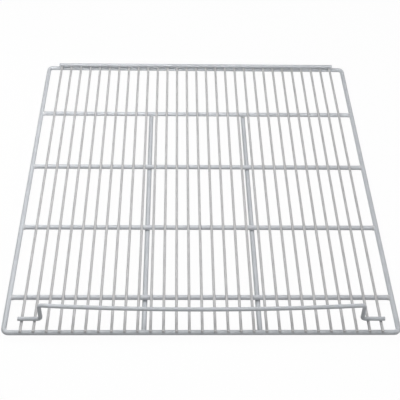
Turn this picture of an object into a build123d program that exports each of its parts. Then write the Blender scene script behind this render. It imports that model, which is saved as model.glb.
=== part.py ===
from build123d import *
import math
import os

# Walk-in cooler shelf: a flat grid of round welded wire, with a stop along its back edge
# and a raised rail along its front edge.
# Sizes are in millimetres. X runs across the shelf, Y from its front to its back, Z up.
# The origin is under the middle of the frame, on the surface that the shelf lies on.

# Overall size, over the outer sides of the perimeter frame
SHELF_WIDTH = 609.6
SHELF_DEPTH = 685.8

# Wire gauges, over the coating
FRAME_GAUGE = 8.0
CROSS_ROD_GAUGE = 8.0
STIFFENER_GAUGE = 8.0
STOP_GAUGE = 6.4
RAIL_GAUGE = 6.4
DECK_GAUGE = 4.4

# Perimeter frame: radius on the inside of each corner bend
FRAME_BEND_INNER = 4.0

# Cross rods: the bays next to the back bar and the front bar, between wire centres
CROSS_ROD_COUNT = 4
BACK_BAY = 149.0
FRONT_BAY = 68.8

# Deck wires: the clear gap between a side rail and the outermost deck wire
DECK_WIRE_COUNT = 29
DECK_EDGE_GAP = 20.2

# Stiffener rods: distance between their centres, clear gap behind the front bar,
# and how far they run past the centre of the first cross rod
STIFFENER_SPACING = 178.0
STIFFENER_FRONT_GAP = 2.0
STIFFENER_BACK_REACH = 6.0

# Back stop rod: how far its centre lies in front of the back bar's centre,
# and how far each end runs past the outermost deck wire
STOP_SETBACK = 4.3
STOP_OVERHANG = 2.2

# Front rail: how far it stands behind the front bar, wire centre to wire centre,
# its rise from the feet to the ends of the raised run, the dip of that run in the middle,
# the length of each foot past the outermost deck wire, and the radius inside its bends
RAIL_SETBACK = 17.3
RAIL_RISE = 31.8
RAIL_DIP = 9.4
FOOT_OVERHANG = 3.4
RAIL_BEND_INNER = 1.6

# Layers, from the bottom up: stiffeners, cross rods, deck wires, then the stop and the rail's feet.
# Each layer lies on the one below, and the frame's top is level with the tops of the cross rods.
stiffener_z = STIFFENER_GAUGE / 2
cross_rod_z = STIFFENER_GAUGE + CROSS_ROD_GAUGE / 2
deck_seat_z = STIFFENER_GAUGE + CROSS_ROD_GAUGE
frame_z = deck_seat_z - FRAME_GAUGE / 2
deck_z = deck_seat_z + DECK_GAUGE / 2
deck_top_z = deck_seat_z + DECK_GAUGE
stop_z = deck_top_z + STOP_GAUGE / 2
foot_z = deck_top_z + RAIL_GAUGE / 2

# Centre lines of the frame's four sides
side_rail_x = (SHELF_WIDTH - FRAME_GAUGE) / 2
end_bar_y = (SHELF_DEPTH - FRAME_GAUGE) / 2

# Deck wires are spaced evenly between the two edge gaps
outer_deck_x = SHELF_WIDTH / 2 - FRAME_GAUGE - DECK_EDGE_GAP - DECK_GAUGE / 2
deck_pitch = 2 * outer_deck_x / (DECK_WIRE_COUNT - 1)

# Cross rods are spaced evenly between the back bay and the front bay
first_cross_y = end_bar_y - BACK_BAY
cross_pitch = (2 * end_bar_y - BACK_BAY - FRONT_BAY) / (CROSS_ROD_COUNT - 1)


def round_section(path, gauge):
    """The wire's round section, square to the start of its path."""
    return Plane(origin=path @ 0, z_dir=path % 0) * Circle(gauge / 2)


def straight_wire(start, end, gauge):
    """A straight length of wire, sheared square at both ends."""
    path = Line(start, end)
    return sweep(round_section(path, gauge), path=path)


def perimeter_frame():
    """The heavy wire that goes round the shelf, closed into one loop."""
    bend_radius = FRAME_BEND_INNER + FRAME_GAUGE / 2
    corners = [
        (-side_rail_x, -end_bar_y, frame_z),
        (side_rail_x, -end_bar_y, frame_z),
        (side_rail_x, end_bar_y, frame_z),
        (-side_rail_x, end_bar_y, frame_z),
    ]
    path = FilletPolyline(*corners, radius=bend_radius, close=True)
    return sweep(round_section(path, FRAME_GAUGE), path=path)


def cross_rod(index):
    """A rod whose square ends are butted to the inner sides of the side rails."""
    reach = SHELF_WIDTH / 2 - FRAME_GAUGE
    y = first_cross_y - index * cross_pitch
    return straight_wire((-reach, y, cross_rod_z), (reach, y, cross_rod_z), CROSS_ROD_GAUGE)


def deck_wire(index):
    """A thin wire that ends flush with the front and the back of the frame."""
    x = -outer_deck_x + index * deck_pitch
    reach = SHELF_DEPTH / 2
    return straight_wire((x, -reach, deck_z), (x, reach, deck_z), DECK_GAUGE)


def stiffener(side):
    """A rod welded under every cross rod, side is -1 on the left and 1 on the right."""
    x = side * STIFFENER_SPACING / 2
    front = -end_bar_y + FRAME_GAUGE / 2 + STIFFENER_FRONT_GAP
    back = first_cross_y + STIFFENER_BACK_REACH
    return straight_wire((x, front, stiffener_z), (x, back, stiffener_z), STIFFENER_GAUGE)


def back_stop_rod():
    """A rod on top of the deck wires, from just outside the first to just outside the last."""
    reach = outer_deck_x + DECK_GAUGE / 2 + STOP_OVERHANG
    y = end_bar_y - STOP_SETBACK
    return straight_wire((-reach, y, stop_z), (reach, y, stop_z), STOP_GAUGE)


def front_rail():
    """One bent wire: foot, leg, raised run, leg and foot, in one upright plane.

    Each foot lies on two deck wires, and its leg stands midway between the second
    and the third. The raised run is a shallow arc that is tangent to the bends
    at the tops of the legs.
    """
    y = -end_bar_y + RAIL_SETBACK
    bend = RAIL_BEND_INNER + RAIL_GAUGE / 2
    tip_x = outer_deck_x + DECK_GAUGE / 2 + FOOT_OVERHANG
    leg_x = outer_deck_x - 1.5 * deck_pitch
    end_z = foot_z + RAIL_RISE
    middle_z = end_z - RAIL_DIP

    # The run's arc has its centre high above the shelf, and passes through the
    # run's middle and through the corners where the legs' lines would meet it.
    arc_radius = (leg_x**2 + RAIL_DIP**2) / (2 * RAIL_DIP)
    arc_centre_z = middle_z + arc_radius

    # The bend's centre is one bend radius inside the leg and outside the run's arc.
    bend_x = leg_x - bend
    bend_z = arc_centre_z - math.sqrt((arc_radius + bend) ** 2 - bend_x**2)
    share = arc_radius / (arc_radius + bend)
    run_x = share * bend_x
    run_z = arc_centre_z + share * (bend_z - arc_centre_z)

    foot = Line((-tip_x, y, foot_z), (-leg_x - bend, y, foot_z))
    low_bend = TangentArc(foot @ 1, (-leg_x, y, foot_z + bend), tangent=foot % 1)
    leg = Line(low_bend @ 1, (-leg_x, y, bend_z))
    high_bend = TangentArc(leg @ 1, (-run_x, y, run_z), tangent=leg % 1)
    run = ThreePointArc(high_bend @ 1, (0, y, middle_z), (run_x, y, run_z))
    left_half = Curve() + [foot, low_bend, leg, high_bend]
    right_half = mirror(left_half, about=Plane.YZ)
    path = Wire([*left_half.edges(), run, *right_half.edges()])
    return sweep(round_section(path, RAIL_GAUGE), path=path)


def shelf_pieces():
    """Every piece of the shelf by its name."""
    pieces = {"perimeter_frame": perimeter_frame()}
    for index in range(CROSS_ROD_COUNT):
        pieces[f"cross_rod_{index + 1}"] = cross_rod(index)
    for index in range(DECK_WIRE_COUNT):
        pieces[f"deck_wire_{index + 1:02d}"] = deck_wire(index)
    pieces["stiffener_left"] = stiffener(-1)
    pieces["stiffener_right"] = stiffener(1)
    pieces["back_stop_rod"] = back_stop_rod()
    pieces["front_rail"] = front_rail()
    return pieces


os.makedirs("parts", exist_ok=True)
for name, piece in shelf_pieces().items():
    export_step(piece, f"parts/{name}.step")
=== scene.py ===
# %% [markdown]
# # A shelf for a walk-in cooler
# The shelf is a flat grid of round steel wire. Its maker cuts and bends the wire, welds
# it where it crosses, and then coats the whole grid in pale grey-white.
# The exact solids come from CAD. They are loaded first and stay where they are, and the
# box that they fill is kept, because nothing that is added may reach outside it.

# %% Load the CAD frame
import math

import bmesh
import bpy
from mathutils import Euler, Matrix, Vector


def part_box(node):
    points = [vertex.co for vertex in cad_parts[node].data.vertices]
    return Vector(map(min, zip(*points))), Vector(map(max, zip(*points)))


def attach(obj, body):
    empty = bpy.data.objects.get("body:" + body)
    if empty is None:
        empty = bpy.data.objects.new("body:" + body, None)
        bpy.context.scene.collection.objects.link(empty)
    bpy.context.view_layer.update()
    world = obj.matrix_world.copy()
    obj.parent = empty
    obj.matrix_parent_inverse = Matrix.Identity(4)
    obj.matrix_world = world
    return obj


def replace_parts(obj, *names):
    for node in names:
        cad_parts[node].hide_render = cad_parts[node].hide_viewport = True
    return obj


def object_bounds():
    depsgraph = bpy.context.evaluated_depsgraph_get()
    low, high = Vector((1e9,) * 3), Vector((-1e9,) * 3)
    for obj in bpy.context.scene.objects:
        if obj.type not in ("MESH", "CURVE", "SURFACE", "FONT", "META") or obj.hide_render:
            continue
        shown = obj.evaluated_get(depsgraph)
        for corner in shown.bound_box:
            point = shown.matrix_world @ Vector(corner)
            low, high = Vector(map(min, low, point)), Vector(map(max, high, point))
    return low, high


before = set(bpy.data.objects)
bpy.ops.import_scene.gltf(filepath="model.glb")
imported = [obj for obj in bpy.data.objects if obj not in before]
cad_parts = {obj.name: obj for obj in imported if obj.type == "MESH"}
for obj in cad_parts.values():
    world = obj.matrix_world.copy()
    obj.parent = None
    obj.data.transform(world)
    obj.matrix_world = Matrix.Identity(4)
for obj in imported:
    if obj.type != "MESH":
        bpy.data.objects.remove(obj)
cad_low, cad_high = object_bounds()
print("CAD box, in metres:", [round(side, 4) for side in cad_high - cad_low])

# %% [markdown]
# Almost every size below is read from the CAD nodes, so the looks follow the solids.
# A wire's gauge is the shortest side of its box, and a straight wire's line runs
# through the middle of the box. All lengths are in metres.


# %% Read the wires from the frame
def centre(node):
    """The middle of a CAD node's box."""
    low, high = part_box(node)
    return (low + high) / 2


def gauge(node):
    """A wire's thickness."""
    low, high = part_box(node)
    return min(high - low)


def nodes_named(start):
    """The CAD nodes whose names start this way, in order."""
    return sorted(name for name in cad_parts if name.startswith(start))


cross_rods = nodes_named("cross_rod_")
deck_wires = nodes_named("deck_wire_")
stiffeners = nodes_named("stiffener_")
print("cross rods:", len(cross_rods))
print("deck wires:", len(deck_wires))
print("stiffeners:", len(stiffeners))

# %% [markdown]
# ## Wire
# A wire is a circle that is pushed along a line. A curve with a round bevel would draw one
# quickly, but its ends would be plain discs. In bmesh the ends can be shaped as well:
# create_circle gives the first ring, extrude_edge_only grows the next one from it, and
# spin turns it about the centre of a bend.

# %% The rings of a wire
WIRE_SIDES = 32


def edges_at(verts):
    """The edges that meet at these vertices, each of them once and in a steady order."""
    return list(dict.fromkeys(edge for vert in verts for edge in vert.link_edges))


def ring_parts(geometry):
    """The vertices and the ring's own edges in what an operator has just made."""
    verts = [part for part in geometry if isinstance(part, bmesh.types.BMVert)]
    made = set(verts)
    edges = [part for part in geometry if isinstance(part, bmesh.types.BMEdge)]
    return verts, [edge for edge in edges if made.issuperset(edge.verts)]


def start_ring(shape, place, direction, radius):
    """The first ring of a wire, square to its direction, with the sheared face."""
    turn_to = direction.to_track_quat("Z", "Y").to_matrix().to_4x4()
    made = bmesh.ops.create_circle(
        shape,
        cap_ends=True,
        radius=radius,
        segments=WIRE_SIDES,
        matrix=Matrix.Translation(place) @ turn_to,
    )
    return edges_at(made["verts"])


# %% Straight stretches and bends
def push(shape, ring, offset):
    """Push a ring straight on by an offset, and return the new ring."""
    grown = bmesh.ops.extrude_edge_only(shape, edges=ring)
    verts, edges = ring_parts(grown["geom"])
    bmesh.ops.translate(shape, verts=verts, vec=offset)
    return edges


def turn(shape, ring, pivot, axis, angle, steps):
    """Turn a ring round a bend, and return the new ring."""
    verts = list(dict.fromkeys(vert for edge in ring for vert in edge.verts))
    spun = bmesh.ops.spin(
        shape, geom=verts + ring, cent=pivot, axis=axis, angle=angle, steps=steps
    )
    return ring_parts(spun["geom_last"])[1]


# %% [markdown]
# The ends were sheared square before coating, and the coating rounds their rims, so each
# rim gets a small bevel. A rim is an edge where the faces meet at a steep angle. One more
# ring close to each end keeps the bevel from tilting the shading along the whole wire.

# %% Rounded ends
END_RING = 0.0016
END_ROUNDING = 0.0007
END_SEGMENTS = 4
RIM_ANGLE = math.radians(60)


def round_rims(shape):
    """Round the rims of the sheared ends."""
    rims = [
        edge
        for edge in shape.edges
        if len(edge.link_faces) == 2 and edge.calc_face_angle() > RIM_ANGLE
    ]
    bmesh.ops.bevel(
        shape,
        geom=rims,
        offset=END_ROUNDING,
        offset_type="OFFSET",
        affect="EDGES",
        segments=END_SEGMENTS,
        profile=0.5,
        material=-1,
    )


# %% [markdown]
# A finished bmesh becomes an object in one place: its doubles are merged, its normals
# are turned outwards and its faces are shaded smooth. The object itself stays at the
# origin, because its place is in its mesh, as a CAD node's is.

# %% Turn a bmesh into a piece of the shelf
MERGE_DISTANCE = 0.00005


def finish_piece(shape, name):
    """Make an object of the bmesh that rides on the shelf."""
    bmesh.ops.remove_doubles(shape, verts=shape.verts, dist=MERGE_DISTANCE)
    bmesh.ops.recalc_face_normals(shape, faces=shape.faces)
    for face in shape.faces:
        face.smooth = True
    mesh = bpy.data.meshes.new(name)
    shape.to_mesh(mesh)
    shape.free()
    piece = bpy.data.objects.new(name, mesh)
    bpy.context.scene.collection.objects.link(piece)
    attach(piece, "root")
    return piece


# %% [markdown]
# ## Deck wires, stiffeners and the back stop
# The deck is 29 thin wires from front to back. Two stiffener rods lie under the cross
# rods, and a stop rod lies on the back ends of the deck wires. All of them are straight
# lengths with free ends, so one function makes them all: it reads the line and the gauge
# from the CAD node, and the new wire stands for that node.


# %% Straight coated wires
def straight_wire(node):
    """A straight wire with coated ends, which stands for its CAD node."""
    low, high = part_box(node)
    sides = high - low
    length = max(sides)
    along = Vector([1.0 if side == length else 0.0 for side in sides])
    start = centre(node) - along * length / 2
    shape = bmesh.new()
    ring = start_ring(shape, start, along, gauge(node) / 2)
    for step in (END_RING, length - 2 * END_RING, END_RING):
        ring = push(shape, ring, along * step)
    bmesh.ops.holes_fill(shape, edges=ring)
    bmesh.ops.recalc_face_normals(shape, faces=shape.faces)
    round_rims(shape)
    piece = finish_piece(shape, "coated_" + node)
    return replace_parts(piece, node)


deck_pieces = [straight_wire(node) for node in deck_wires]
stiffener_pieces = [straight_wire(node) for node in stiffeners]
stop_piece = straight_wire("back_stop_rod")
print("faces of one deck wire:", len(deck_pieces[0].data.polygons))

# %% [markdown]
# ## Front rail
# The front rail keeps goods from sliding off. It is one wire with nine stretches: a foot,
# a bend, a leg, a bend, the long run, and the same again in reverse. The run isn't quite
# straight: it dips in the middle as a shallow arc, which meets the upper bends smoothly.
# Only the left half is drawn, up to the middle of the run, and mirror makes the other.

# %% Where the rail's stretches meet
RAIL_RISE = 0.0318
RAIL_DIP = 0.0094
RAIL_BEND_INNER = 0.0016

rail_low, rail_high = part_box("front_rail")
rail_radius = gauge("front_rail") / 2
rail_bend = RAIL_BEND_INNER + rail_radius
rail_y = centre("front_rail").y
foot_z = rail_low.z + rail_radius
leg_x = -(centre(deck_wires[1]).x + centre(deck_wires[2]).x) / 2

# The run's arc goes through its middle and the corners where the legs would meet it
middle_z = foot_z + RAIL_RISE - RAIL_DIP
run_radius = (leg_x**2 + RAIL_DIP**2) / (2 * RAIL_DIP)
run_pivot = Vector((0, rail_y, middle_z + run_radius))

# The upper bend lies inside the leg and touches the run's arc from below
high_x = leg_x - rail_bend
high_z = run_pivot.z - math.sqrt((run_radius + rail_bend) ** 2 - high_x**2)
run_half_angle = math.asin(high_x / (run_radius + rail_bend))
print("run's radius in metres:", round(run_radius, 3))

# %% Draw the left half and mirror it
BEND_STEPS = 10
RUN_STEPS = 24
QUARTER_TURN = math.pi / 2
RIGHT = Vector((1, 0, 0))
UP = Vector((0, 0, 1))
TO_FRONT = Vector((0, -1, 0))
TO_BACK = Vector((0, 1, 0))

rail_shape = bmesh.new()
foot_tip = Vector((rail_low.x, rail_y, foot_z))
foot_length = -leg_x - rail_bend - rail_low.x
low_pivot = Vector((-leg_x - rail_bend, rail_y, foot_z + rail_bend))
high_pivot = Vector((-high_x, rail_y, high_z))

ring = start_ring(rail_shape, foot_tip, RIGHT, rail_radius)
ring = push(rail_shape, ring, RIGHT * END_RING)
ring = push(rail_shape, ring, RIGHT * (foot_length - END_RING))
ring = turn(rail_shape, ring, low_pivot, TO_FRONT, QUARTER_TURN, BEND_STEPS)
ring = push(rail_shape, ring, UP * (high_pivot.z - low_pivot.z))
ring = turn(rail_shape, ring, high_pivot, TO_BACK, QUARTER_TURN + run_half_angle, BEND_STEPS)
ring = turn(rail_shape, ring, run_pivot, TO_FRONT, run_half_angle, RUN_STEPS)
bmesh.ops.recalc_face_normals(rail_shape, faces=rail_shape.faces)
round_rims(rail_shape)
bmesh.ops.mirror(rail_shape, geom=rail_shape.faces[:], axis="X", merge_dist=MERGE_DISTANCE)
rail_piece = finish_piece(rail_shape, "coated_front_rail")
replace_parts(rail_piece, "front_rail")
rail_top = max(vert.co.z for vert in rail_piece.data.vertices)
print("rail top against CAD, in mm:", round((rail_top - rail_high.z) * 1000, 3))

# %% [markdown]
# ## Welds where wires cross
# Two round wires that cross touch at one point. The welder presses them together while
# the current melts that point, and the coating then fills the crease, so a small neck
# with hollow sides joins the two. A boolean union with a bevel in the crease would give
# it too, but that is slow and fragile at more than two hundred places.
# So each neck is a small tube with few faces: three rings, oval because each wire is
# curved one way only. The lowest ring and the highest are sunk in the two wires. A face
# closes each of them, and its edge is marked sharp, so that it doesn't tilt the shading.


# %% The rings of a weld
def weld_rings(shape, sides, count, along_x=False):
    """A closed tube's rings, all of them still circles of radius 1 at the origin."""
    verts = bmesh.ops.create_circle(shape, cap_ends=True, radius=1, segments=sides)["verts"]
    if along_x:
        bmesh.ops.rotate(shape, verts=verts, matrix=Matrix.Rotation(QUARTER_TURN, 3, "Y"))
    first = edges = edges_at(verts)
    rings = [verts]
    for _ in range(count - 1):
        verts, edges = ring_parts(bmesh.ops.extrude_edge_only(shape, edges=edges)["geom"])
        rings.append(verts)
    bmesh.ops.holes_fill(shape, edges=edges)
    for edge in first + edges:
        edge.smooth = False
    return rings


# %% A neck between two crossing wires
NECK_SIDES = 14
NECK_DEPTH = 0.0011
NECK_FILLET = 0.0007
NECK_SINK = 0.94


def half_width(radius, depth):
    """How wide a wire is at a depth below its surface, from its middle to one side."""
    return math.sqrt(radius**2 - (radius - depth) ** 2)


def add_neck(shape, x, y, z, upper_radius, lower_radius, upper_runs_along_y):
    """A welded neck at the point where an upper wire lies across a lower one."""
    upper = half_width(upper_radius, NECK_DEPTH)
    lower = half_width(lower_radius, NECK_DEPTH)
    rings = (
        (upper + NECK_FILLET, lower * NECK_SINK, -NECK_DEPTH),
        (upper, lower, 0),
        (upper * NECK_SINK, lower + NECK_FILLET, NECK_DEPTH),
    )
    drawn = weld_rings(shape, NECK_SIDES, len(rings))
    for verts, (across, along, height) in zip(drawn, rings):
        wide = (across, along, 1) if upper_runs_along_y else (along, across, 1)
        bmesh.ops.scale(shape, verts=verts, vec=wide)
        bmesh.ops.translate(shape, verts=verts, vec=(x, y, z + height))


# %% [markdown]
# The deck wires cross six bars from above: the back bar, the four cross rods and the
# front bar. The frame's own bars have no node of their own, so their lines are half a
# gauge inside the frame's box.

# %% Necks under the deck wires
frame_radius = gauge("perimeter_frame") / 2
frame_low, frame_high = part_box("perimeter_frame")
deck_radius = gauge(deck_wires[0]) / 2
deck_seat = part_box(deck_wires[0])[0].z
deck_lines = [centre(node).x for node in deck_wires]

bars = [(frame_high.y - frame_radius, frame_radius)]
bars += [(centre(node).y, gauge(node) / 2) for node in cross_rods]
bars += [(frame_low.y + frame_radius, frame_radius)]

deck_necks = bmesh.new()
for bar_y, bar_radius in bars:
    for x in deck_lines:
        add_neck(deck_necks, x, bar_y, deck_seat, deck_radius, bar_radius, True)
deck_welds = finish_piece(deck_necks, "deck_wire_welds")
print("deck wire welds:", len(bars) * len(deck_lines))

# %% [markdown]
# The stop and the rail's feet lie on the deck wires and run across them. The stop crosses
# all of them, and each foot only the two outer ones on its side. The cross rods lie on
# the stiffeners in the same way.

# %% Necks under the back stop and the rail's feet
deck_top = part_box(deck_wires[0])[1].z
stop_y = centre("back_stop_rod").y
stop_radius = gauge("back_stop_rod") / 2
foot_lines = deck_lines[:2] + deck_lines[-2:]

stop_necks = bmesh.new()
for x in deck_lines:
    add_neck(stop_necks, x, stop_y, deck_top, stop_radius, deck_radius, False)
for x in foot_lines:
    add_neck(stop_necks, x, rail_y, deck_top, rail_radius, deck_radius, False)
stop_welds = finish_piece(stop_necks, "stop_and_rail_welds")
print("stop and rail welds:", len(deck_lines) + len(foot_lines))

# %% Necks between the cross rods and the stiffeners
stiffener_necks = bmesh.new()
for node in stiffeners:
    for rod in cross_rods:
        rod_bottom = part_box(rod)[0].z
        place = (centre(node).x, centre(rod).y, rod_bottom)
        add_neck(stiffener_necks, *place, gauge(rod) / 2, gauge(node) / 2, False)
stiffener_welds = finish_piece(stiffener_necks, "stiffener_welds")
print("stiffener welds:", len(stiffeners) * len(cross_rods))

# %% [markdown]
# The stiffeners end under the first cross rod, so the welder also ran a short bead along
# the crease there, in front of the rod and behind it. A bead is thick in the middle, and
# its ends sink towards the stiffener's sides, so its rings follow that saddle.

# %% Beads at the back ends of the stiffeners
BEAD_SIDES = 12

# Each ring: its place along the rod, out from the rod's middle and above the stiffener,
# and its radius
BEAD_RINGS = (
    (-0.0032, 0.0018, -0.0010, 0.0006),
    (-0.0025, 0.0030, -0.0002, 0.0014),
    (-0.0012, 0.0038, 0.0007, 0.0020),
    (0.0000, 0.0040, 0.0010, 0.0022),
    (0.0012, 0.0037, 0.0007, 0.0019),
    (0.0025, 0.0031, -0.0002, 0.0014),
    (0.0032, 0.0018, -0.0010, 0.0006),
)


def add_bead(shape, x, y, z, side):
    """A weld bead across a stiffener's top, side is -1 in front of the rod and 1 behind it."""
    drawn = weld_rings(shape, BEAD_SIDES, len(BEAD_RINGS), along_x=True)
    for verts, (along, out, up, radius) in zip(drawn, BEAD_RINGS):
        bmesh.ops.scale(shape, verts=verts, vec=(1, radius, radius))
        bmesh.ops.translate(shape, verts=verts, vec=(x + along, y + side * out, z + up))


end_beads = bmesh.new()
first_rod = centre(cross_rods[0])
for node in stiffeners:
    stiffener_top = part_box(node)[1].z
    for side in (-1, 1):
        add_bead(end_beads, centre(node).x, first_rod.y, stiffener_top, side)
bead_piece = finish_piece(end_beads, "stiffener_end_beads")
print("beads:", 2 * len(stiffeners))

# %% [markdown]
# ## Welds at the ends of the cross rods
# A cross rod ends square against the round side of a side rail, which leaves a wedge
# above and below. The weld fills it and runs out along the rail at both sides, so it is a
# collar: rings round the rod that start just inside its skin, swell a little and then
# widen along the rail until they are sunk in it.

# %% Collars at the ends of the cross rods
COLLAR_SIDES = 20
COLLAR_SWELL = 0.0003
COLLAR_LENGTH = 0.0045
COLLAR_FLARE = 0.0014

# Each ring: its place along the collar, and its growth along the rail and upwards
COLLAR_RINGS = (
    (0.00, -0.0002, -0.0002),
    (0.30, 0.0001, 0.6 * COLLAR_SWELL),
    (0.62, 0.0004, COLLAR_SWELL),
    (0.88, 0.0009, 0.5 * COLLAR_SWELL),
    (1.10, COLLAR_FLARE, -0.0003),
    (1.45, COLLAR_FLARE, -0.0012),
)


def add_collar(shape, rod, side):
    """The weld at one end of a cross rod, side is -1 on the left and 1 on the right."""
    radius = gauge(rod) / 2
    middle = centre(rod)
    rod_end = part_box(rod)[1].x
    drawn = weld_rings(shape, COLLAR_SIDES, len(COLLAR_RINGS), along_x=True)
    for verts, (share, wider, higher) in zip(drawn, COLLAR_RINGS):
        x = side * (rod_end - COLLAR_LENGTH * (1 - share))
        bmesh.ops.scale(shape, verts=verts, vec=(1, radius + wider, radius + higher))
        bmesh.ops.translate(shape, verts=verts, vec=(x, middle.y, middle.z))


rod_collars = bmesh.new()
for rod in cross_rods:
    for side in (-1, 1):
        add_collar(rod_collars, rod, side)
rod_welds = finish_piece(rod_collars, "cross_rod_end_welds")
print("collars:", 2 * len(cross_rods))

# %% [markdown]
# ## The coating
# The coating is a baked plastic paint. Close to, it isn't one even colour: it is thinner
# and greyer in places, and its skin has a fine dimpled grain. A painted picture would need
# a UV map on every wire, and noise needs none. Both effects are node groups, so that every
# finish can place them with values of its own. They read Object coordinates, and as every
# piece sits at the origin, a pattern runs on from wire to wire.

# %% Node group helpers
COLOR = "NodeSocketColor"
FLOAT = "NodeSocketFloat"


def new_group(name, inputs, outputs):
    """An empty shader node group with named sockets."""
    group = bpy.data.node_groups.new(name, "ShaderNodeTree")
    for label, kind, value in inputs:
        socket = group.interface.new_socket(label, in_out="INPUT", socket_type=kind)
        socket.default_value = value
    for label, kind in outputs:
        group.interface.new_socket(label, in_out="OUTPUT", socket_type=kind)
    return group, group.nodes.new("NodeGroupInput"), group.nodes.new("NodeGroupOutput")


def new_node(tree, kind, links=(), **settings):
    """A node with some settings, and (socket, value or output) pairs for its inputs."""
    node = tree.nodes.new(kind)
    for label, value in settings.items():
        setattr(node, label, value)
    for label, value in links:
        if isinstance(value, bpy.types.NodeSocket):
            tree.links.new(value, node.inputs[label])
        else:
            node.inputs[label].default_value = value
    return node


# %% [markdown]
# Thin patches come from a slow noise that slides from the full colour to the thin one.
# A Mix node has sockets of the same name for each kind of data, so its colour sockets are
# picked by number.

# %% The coating's thin patches
PATCH_START, PATCH_END = 0.38, 0.68
MIX_A, MIX_B, MIX_RESULT = 6, 7, 2

thin_coat, given, result = new_group(
    "thin_coat",
    (
        ("Full", COLOR, (0.6, 0.6, 0.6, 1)),
        ("Thin", COLOR, (0.5, 0.5, 0.5, 1)),
        ("Patches per metre", FLOAT, 40),
        ("Speckle", FLOAT, 0.1),
    ),
    (("Color", COLOR),),
)
full, thin = given.outputs["Full"], given.outputs["Thin"]
where = new_node(thin_coat, "ShaderNodeTexCoord").outputs["Object"]
patches = new_node(
    thin_coat,
    "ShaderNodeTexNoise",
    (
        ("Vector", where),
        ("Scale", given.outputs["Patches per metre"]),
        ("Detail", 3.0),
        ("Roughness", 0.55),
    ),
)
thinness = new_node(
    thin_coat,
    "ShaderNodeMapRange",
    (("Value", patches.outputs["Fac"]), ("From Min", PATCH_START), ("From Max", PATCH_END)),
    interpolation_type="SMOOTHSTEP",
)
patched = new_node(
    thin_coat,
    "ShaderNodeMix",
    (("Factor", thinness.outputs["Result"]), (MIX_A, full), (MIX_B, thin)),
    data_type="RGBA",
)

# %% The specks in the coating
SPECKS_PER_METRE = 1400.0
SPECK_START, SPECK_END = 0.62, 0.72

specks = new_node(
    thin_coat,
    "ShaderNodeTexNoise",
    (("Vector", where), ("Scale", SPECKS_PER_METRE), ("Detail", 1.0)),
)
speck_range = new_node(
    thin_coat,
    "ShaderNodeMapRange",
    (("Value", specks.outputs["Fac"]), ("From Min", SPECK_START), ("From Max", SPECK_END)),
)
speck_amount = new_node(
    thin_coat,
    "ShaderNodeMath",
    ((0, speck_range.outputs["Result"]), (1, given.outputs["Speckle"])),
    operation="MULTIPLY",
)
speckled = new_node(
    thin_coat,
    "ShaderNodeMix",
    (
        ("Factor", speck_amount.outputs[0]),
        (MIX_A, patched.outputs[MIX_RESULT]),
        (MIX_B, thin),
    ),
    data_type="RGBA",
)
thin_coat.links.new(speckled.outputs[MIX_RESULT], result.inputs["Color"])
print("group", thin_coat.name, "has", len(thin_coat.nodes), "nodes")

# %% [markdown]
# The skin has two sizes of relief: fine dimples, and wider sags where the paint ran a
# little before it set. The sags are also where it lost some of its gloss.

# %% The coating's dimpled skin
SAGS_PER_METRE = 130.0

dimpled_skin, given, result = new_group(
    "dimpled_skin",
    (("Dimples per metre", FLOAT, 600), ("Sag", FLOAT, 0.5)),
    (("Height", FLOAT), ("Gloss loss", FLOAT)),
)
where = new_node(dimpled_skin, "ShaderNodeTexCoord").outputs["Object"]
dimples = new_node(
    dimpled_skin,
    "ShaderNodeTexNoise",
    (("Vector", where), ("Scale", given.outputs["Dimples per metre"]), ("Detail", 2.0)),
)
sags = new_node(
    dimpled_skin,
    "ShaderNodeTexNoise",
    (("Vector", where), ("Scale", SAGS_PER_METRE), ("Detail", 1.0)),
)
sag_height = new_node(
    dimpled_skin,
    "ShaderNodeMath",
    ((0, sags.outputs["Fac"]), (1, given.outputs["Sag"]), (2, dimples.outputs["Fac"])),
    operation="MULTIPLY_ADD",
)
dimpled_skin.links.new(sag_height.outputs[0], result.inputs["Height"])
dimpled_skin.links.new(sags.outputs["Fac"], result.inputs["Gloss loss"])
print("group", dimpled_skin.name, "has", len(dimpled_skin.nodes), "nodes")

# %% [markdown]
# Each finish is one Principled BSDF. Its colour comes from the thin patches, its
# roughness from where the skin has sagged, and its normal from a bump of the dimples.
# What is the same all over, such as the specular level, is set on the shader itself.

# %% A coated finish
SPECULAR_LEVEL = 0.35
SAG_LOW, SAG_HIGH = 0.3, 0.7
GLOSSIER_BY, DULLER_BY = 0.06, 0.08
DIMPLE_STRENGTH = 0.35
DIMPLE_HEIGHT = 0.0003


def coating(name, full, thin, patches_per_metre, speckle, dimples_per_metre, sag, roughness):
    """A coated wire's finish."""
    material = bpy.data.materials.new(name)
    material.use_nodes = True
    tree = material.node_tree
    shader = tree.nodes["Principled BSDF"]
    shader.inputs["Specular IOR Level"].default_value = SPECULAR_LEVEL
    colour = new_node(
        tree,
        "ShaderNodeGroup",
        (
            ("Full", (*full, 1)),
            ("Thin", (*thin, 1)),
            ("Patches per metre", patches_per_metre),
            ("Speckle", speckle),
        ),
        node_tree=thin_coat,
    )
    skin = new_node(
        tree,
        "ShaderNodeGroup",
        (("Dimples per metre", dimples_per_metre), ("Sag", sag)),
        node_tree=dimpled_skin,
    )
    gloss = new_node(
        tree,
        "ShaderNodeMapRange",
        (
            ("Value", skin.outputs["Gloss loss"]),
            ("From Min", SAG_LOW),
            ("From Max", SAG_HIGH),
            ("To Min", roughness - GLOSSIER_BY),
            ("To Max", roughness + DULLER_BY),
        ),
    )
    bump = new_node(
        tree,
        "ShaderNodeBump",
        (
            ("Height", skin.outputs["Height"]),
            ("Strength", DIMPLE_STRENGTH),
            ("Distance", DIMPLE_HEIGHT),
        ),
    )
    tree.links.new(colour.outputs["Color"], shader.inputs["Base Color"])
    tree.links.new(gloss.outputs["Result"], shader.inputs["Roughness"])
    tree.links.new(bump.outputs["Normal"], shader.inputs["Normal"])
    return material


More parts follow.
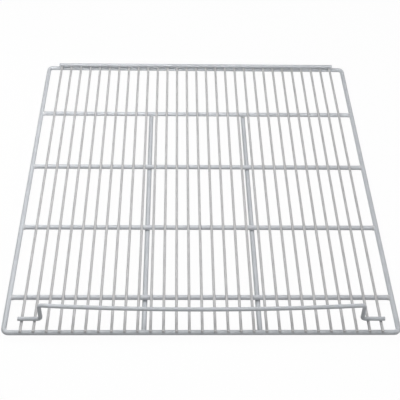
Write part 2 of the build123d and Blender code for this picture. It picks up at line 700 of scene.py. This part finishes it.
# %% [markdown]
# Every wire has the same coating, but each kind gets a finish of its own whose brightness
# stands in for how the light falls on it, so these are lit and shaded copies of one coating.
# The cross rods are lighter than the frame, which is painted light on their tops. The stop,
# and a little the rail, are darker, which is painted shade. The thin deck wires are darker
# and greyer, which is painted shade on their sides, while their warmer hue and the heavy
# wires' bluer one are the wires' own colour. Welds take more coating and are rougher than
# the wires, and their lighter tone is painted highlight where the crossings catch the light.

# %% The shelf's finishes
# For each: the colours of the full coat and the thin one, patches per metre, speckle,
# dimples per metre, sag and roughness
# Their brightness differs only to paint light and shade: lighter cross rods and welds are
# painted light, and the darker stop, rail and deck wires are painted shade.
FINISHES = {
    "frame": ((0.607, 0.630, 0.658), (0.568, 0.592, 0.620), 34, 0.15, 620, 0.6, 0.40),
    "cross_rod": ((0.640, 0.660, 0.692), (0.602, 0.622, 0.654), 34, 0.15, 620, 0.6, 0.40),
    "deck_wire": ((0.565, 0.563, 0.567), (0.521, 0.520, 0.526), 52, 0.15, 760, 0.4, 0.42),
    "stop": ((0.570, 0.590, 0.621), (0.532, 0.552, 0.582), 38, 0.15, 620, 0.6, 0.46),
    "rail": ((0.598, 0.620, 0.651), (0.559, 0.582, 0.611), 38, 0.15, 620, 0.6, 0.42),
    "weld": ((0.660, 0.670, 0.684), (0.574, 0.585, 0.603), 180, 0.25, 900, 1.2, 0.46),
}
finishes = {name: coating(name + "_coating_finish", *look) for name, look in FINISHES.items()}
print("finishes:", [finish.name for finish in finishes.values()])


# %% Dress the pieces and the CAD nodes that stay
def dress(pieces, finish):
    """Give each of these pieces one finish."""
    for piece in pieces:
        piece.data.materials.clear()
        piece.data.materials.append(finish)


dress(deck_pieces, finishes["deck_wire"])
dress(stiffener_pieces, finishes["frame"])
dress([stop_piece], finishes["stop"])
dress([rail_piece], finishes["rail"])
dress([deck_welds, stop_welds, stiffener_welds, bead_piece, rod_welds], finishes["weld"])
# The cross rods get their lighter finish, which is painted light on their tops.
for node in ["perimeter_frame", *cross_rods]:
    for material_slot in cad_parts[node].material_slots:
        material_slot.material = finishes["cross_rod" if node in cross_rods else "frame"]
print("CAD nodes that stay:", 1 + len(cross_rods))

# %% [markdown]
# ## Floor, light and camera
# The shelf lies on a plain white floor. A camera ray sees the floor almost as white as
# paper, with only a faint shadow, while the light that the floor throws back at the wires
# is that of a mid grey one, so that their undersides stay darker than their tops. The
# background behind it is made in the same way.


# %% Rays that see a white background
def sees_background(tree):
    """1 for camera, glossy and transmission rays, which see the background as white."""
    path = new_node(tree, "ShaderNodeLightPath").outputs
    first = new_node(
        tree,
        "ShaderNodeMath",
        ((0, path["Is Camera Ray"]), (1, path["Is Glossy Ray"])),
        operation="MAXIMUM",
    )
    both = new_node(
        tree,
        "ShaderNodeMath",
        ((0, first.outputs[0]), (1, path["Is Transmission Ray"])),
        operation="MAXIMUM",
    )
    return both.outputs[0]


# %% The floor's finish
WHITE = (1, 1, 1, 1)
SHADOW_CATCHER = (0.9, 0.9, 0.9, 1)
BOUNCE_GREY = (0.5, 0.5, 0.5, 1)
SHADOW_SHARE = 0.03

floor_finish = bpy.data.materials.new("white_floor")
floor_finish.use_nodes = True
tree = floor_finish.node_tree
tree.nodes.remove(tree.nodes["Principled BSDF"])
glow = new_node(tree, "ShaderNodeEmission", (("Color", WHITE), ("Strength", 1.0)))
lit = new_node(tree, "ShaderNodeBsdfDiffuse", (("Color", SHADOW_CATCHER),))
grey = new_node(tree, "ShaderNodeBsdfDiffuse", (("Color", BOUNCE_GREY),))
paper = new_node(
    tree,
    "ShaderNodeMixShader",
    ((0, SHADOW_SHARE), (1, glow.outputs[0]), (2, lit.outputs[0])),
)
seen = new_node(
    tree,
    "ShaderNodeMixShader",
    ((0, sees_background(tree)), (1, grey.outputs[0]), (2, paper.outputs[0])),
)
tree.links.new(seen.outputs[0], tree.nodes["Material Output"].inputs["Surface"])
print("floor's finish:", len(tree.nodes), "nodes")

# %% The floor
FLOOR_SIZE = 12.0
FLOOR_DROP = 0.0002

floor_shape = bmesh.new()
bmesh.ops.create_grid(floor_shape, x_segments=1, y_segments=1, size=FLOOR_SIZE / 2)
floor_place = (0, 0, cad_low.z - FLOOR_DROP)
bmesh.ops.translate(floor_shape, verts=floor_shape.verts, vec=floor_place)
floor_mesh = bpy.data.meshes.new("floor")
floor_shape.to_mesh(floor_mesh)
floor_shape.free()
floor = bpy.data.objects.new("floor", floor_mesh)
bpy.context.scene.collection.objects.link(floor)
floor.data.materials.append(floor_finish)
print("floor's sides, in metres:", FLOOR_SIZE)

# %% The world
AMBIENT = 0.04

world = bpy.data.worlds.new("studio")
bpy.context.scene.world = world
world.use_nodes = True
tree = world.node_tree
background = tree.nodes["Background"]
background.inputs["Color"].default_value = WHITE
strength = new_node(
    tree,
    "ShaderNodeMapRange",
    (("Value", sees_background(tree)), ("To Min", AMBIENT), ("To Max", 1.0)),
)
tree.links.new(strength.outputs["Result"], background.inputs["Strength"])
print("world's light on the shelf:", AMBIENT)

# %% [markdown]
# In the photograph the light is high and even: the tops of the wires are pale, their
# undersides are grey, and their right edges are a little lighter than their left ones.
# Area lights stand for soft boxes. Three hang over the shelf, two stand in front of it,
# and a far one at the right gives the lighter right edges. The stop rod would leave the
# back bar in deep shadow, so a small strip reaches under it from the front. Its beam is
# kept narrow with the light's spread, as a honeycomb grid does on a real soft box.


# %% Soft boxes
def soft_box(name, place, width, height, watts, aim=(0, 0, 0), spread=180):
    """An area light that faces a point, with the spread of its beam in degrees."""
    lamp = bpy.data.lights.new(name, "AREA")
    lamp.shape = "RECTANGLE"
    lamp.size, lamp.size_y = width, height
    lamp.energy = watts
    lamp.spread = math.radians(spread)
    box = bpy.data.objects.new(name, lamp)
    bpy.context.scene.collection.objects.link(box)
    box.location = place
    box.rotation_euler = (Vector(aim) - Vector(place)).to_track_quat("-Z", "Y").to_euler()
    box.visible_camera = False


soft_box("over_back_box", (-0.20, 0.10, 0.95), 0.7, 0.7, 4.2)
soft_box("over_left_box", (-0.60, 0, 0.85), 0.7, 0.7, 2.1)
soft_box("over_middle_strip", (-0.12, -0.15, 0.95), 1.5, 0.3, 2.9)
soft_box("front_box", (0, -1.8, 1.26), 1.3, 0.8, 5.2)
soft_box("low_front_box", (0, -2.1, 0.68), 1.3, 0.6, 1.6)
soft_box("far_right_box", (4.4, 0, 2.2), 1.2, 1.2, 60)
soft_box("back_bar_strip", (0, -0.20, 0.16), 1.0, 0.1, 0.09, aim=(0, 0.46, 0), spread=20)
print("lamps:", [lamp.name for lamp in bpy.data.lights])

# %% [markdown]
# The camera stands in front of the shelf and looks down at it. Its place, lens and three
# angles were found by fitting the corners and wires of the CAD frame to where they are in
# the photograph.

# %% Camera
CAMERA_PLACE = Vector((-0.04015, -1.1744, 1.0999))
CAMERA_LENS = 80.47
SENSOR_WIDTH = 36.0
LOOK_DOWN = math.radians(44.023)
LOOK_RIGHT = math.radians(2.12)
ROLL = math.radians(1.652)

camera_data = bpy.data.cameras.new("camera")
camera_data.sensor_width = SENSOR_WIDTH
camera_data.lens = CAMERA_LENS
camera = bpy.data.objects.new("camera", camera_data)
bpy.context.scene.collection.objects.link(camera)
aim = Euler((QUARTER_TURN - LOOK_DOWN, 0, -LOOK_RIGHT)).to_matrix()
turned = aim @ Matrix.Rotation(ROLL, 3, "Z")
camera.matrix_world = Matrix.Translation(CAMERA_PLACE) @ turned.to_4x4()
bpy.context.scene.camera = camera
bpy.context.scene.view_settings.view_transform = "Standard"
print("camera's lens, in mm:", CAMERA_LENS)
